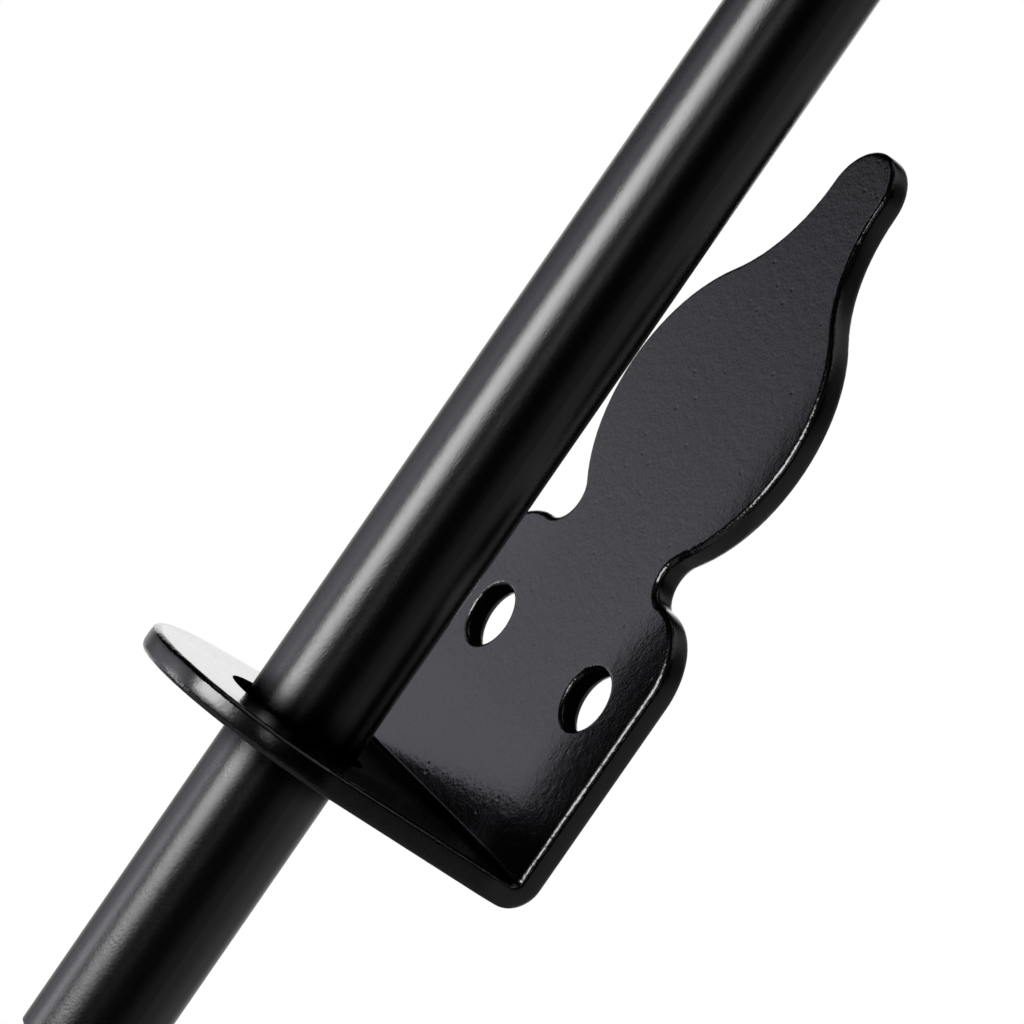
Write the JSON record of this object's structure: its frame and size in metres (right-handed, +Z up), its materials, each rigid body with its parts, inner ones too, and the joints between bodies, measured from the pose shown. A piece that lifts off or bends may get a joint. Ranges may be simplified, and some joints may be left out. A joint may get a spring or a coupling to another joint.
{
  "type": "drop rod latch",
  "caption": "Gate drop rod latch: a round rod with a bent handle slides down through folded sheet guides with rounded decorative plates.",
  "frame": {"origin": "midway between the two bolt holes of the lower guide, on the gate's face", "axes": "+Z up along the rod, +Y into the gate, +X to the right seen from in front of the gate"},
  "size_m": [0.0516, 0.1208, 0.3489],
  "materials": {
    "guide_paint": "black powder coat over sheared steel sheet, satin with faint orange peel",
    "rod_paint": "black paint on round steel bar, smooth satin"
  },
  "bodies": {
    "guides": {"lower_guide": "guide_paint", "upper_guide": "guide_paint"},
    "rod": {"drop_rod": "rod_paint"}
  },
  "joints": [
    {"name": "rod_slide", "type": "slide", "parent": "guides", "child": "rod", "axis": [0, 0, 1], "range_m": [0, 0.045]}
  ]
}
